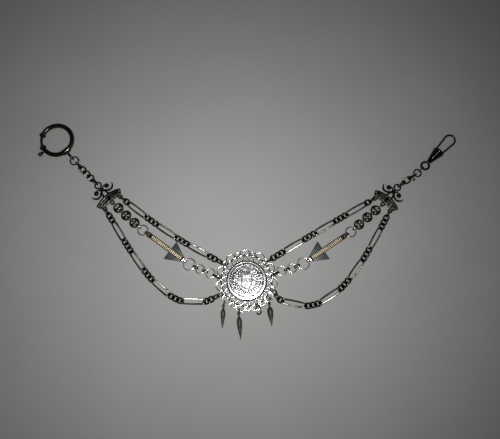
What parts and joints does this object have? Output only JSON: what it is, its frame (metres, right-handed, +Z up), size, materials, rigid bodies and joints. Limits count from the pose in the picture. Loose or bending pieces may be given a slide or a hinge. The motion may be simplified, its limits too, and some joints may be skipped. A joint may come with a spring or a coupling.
{
  "type": "watch chain",
  "caption": "Three-strand waistcoat watch chain with bolt ring, swivel clip, crown plates, ribbed bars and a coin medallion with drops.",
  "frame": {"origin": "middle of the chain's outline, on the surface it lies on", "axes": "+X to the right along the chain, +Y away from the viewer, +Z up"},
  "size_m": [0.2766, 0.1416, 0.0076],
  "materials": {
    "bolt_ring": "dark nickel plate, polished",
    "swivel_clip": "black nickel plate, polished",
    "crown": "oxidised steel, satin with bright edges",
    "disc": "tarnished nickel silver",
    "bright_ring": "polished nickel silver",
    "gilt_bar": "worn gilding on brass",
    "long_link": "drawn nickel silver wire, lightly tarnished",
    "short_link": "tarnished nickel silver wire",
    "dark_link": "tarnished nickel silver wire",
    "medal_frame": "polished silver wire",
    "coin": "worn silver",
    "drop": "dark steel, brass showing at the tips"
  },
  "bodies": {
    "chain": {"bolt_ring_tube": "bolt_ring", "snap_ring": "dark_link", "left_link_1": "dark_link", "left_link_2": "dark_link", "left_link_3": "dark_link", "left_link_4": "dark_link", "left_link_5": "dark_link", "left_crown": "crown", "right_crown": "crown", "clip_eye": "swivel_clip", "clip_ring": "dark_link", "clip_link": "dark_link", "right_link_1": "dark_link", "right_link_2": "dark_link", "right_link_3": "dark_link", "spare_ring": "dark_link", "left_disc_1": "disc", "left_disc_2": "disc", "left_disc_3": "disc", "right_disc_1": "disc", "right_disc_2": "disc", "right_disc_3": "disc", "left_ring_a": "bright_ring", "left_ring_b": "bright_ring", "left_ring_c": "bright_ring", "left_ring_d": "bright_ring", "right_ring_a": "bright_ring", "right_ring_b": "bright_ring", "right_ring_c": "bright_ring", "right_ring_d": "bright_ring", "left_bar": "gilt_bar", "right_bar": "gilt_bar", "joiner_links": "dark_link", "left_short_links": "short_link", "right_short_links": "short_link", "left_top_long_1": "long_link", "left_top_long_2": "long_link", "left_top_long_3": "long_link", "left_low_long_1": "long_link", "left_low_long_2": "long_link", "left_low_long_3": "long_link", "left_low_long_4": "long_link", "right_top_long_1": "long_link", "right_top_long_2": "long_link", "right_top_long_3": "long_link", "right_low_long_1": "long_link", "right_low_long_2": "long_link", "right_low_long_3": "long_link", "right_low_long_4": "long_link", "medal_frame": "medal_frame", "medal_coin": "coin", "medal_rings": "dark_link", "empty_ring": "dark_link", "drop_left": "drop", "drop_middle": "drop", "drop_right": "drop"},
    "bolt": {"bolt_ring_bolt": "bolt_ring"},
    "swivel": {"clip_barrel": "swivel_clip"},
    "gate": {"clip_gate": "swivel_clip"}
  },
  "joints": [
    {"name": "bolt_draw", "type": "hinge", "parent": "chain", "child": "bolt", "pos_m": [-0.12634, 0.05911, 0.0023], "axis": [0, 0, 1], "range_deg": [0, 50], "stiffness_Nm_per_rad": 0.004, "springref_deg": -17.19},
    {"name": "clip_swivel", "type": "hinge", "parent": "chain", "child": "swivel", "pos_m": [0.11816, 0.04141, 0.002], "axis": [0.6947, 0.7045, 0.1452], "continuous": true},
    {"name": "gate_press", "type": "hinge", "parent": "swivel", "child": "gate", "pos_m": [0.12855, 0.04867, 0.00383], "axis": [-0.102, -0.1034, 0.9894], "range_deg": [0, 15], "stiffness_Nm_per_rad": 0.002, "springref_deg": -17.19}
  ]
}
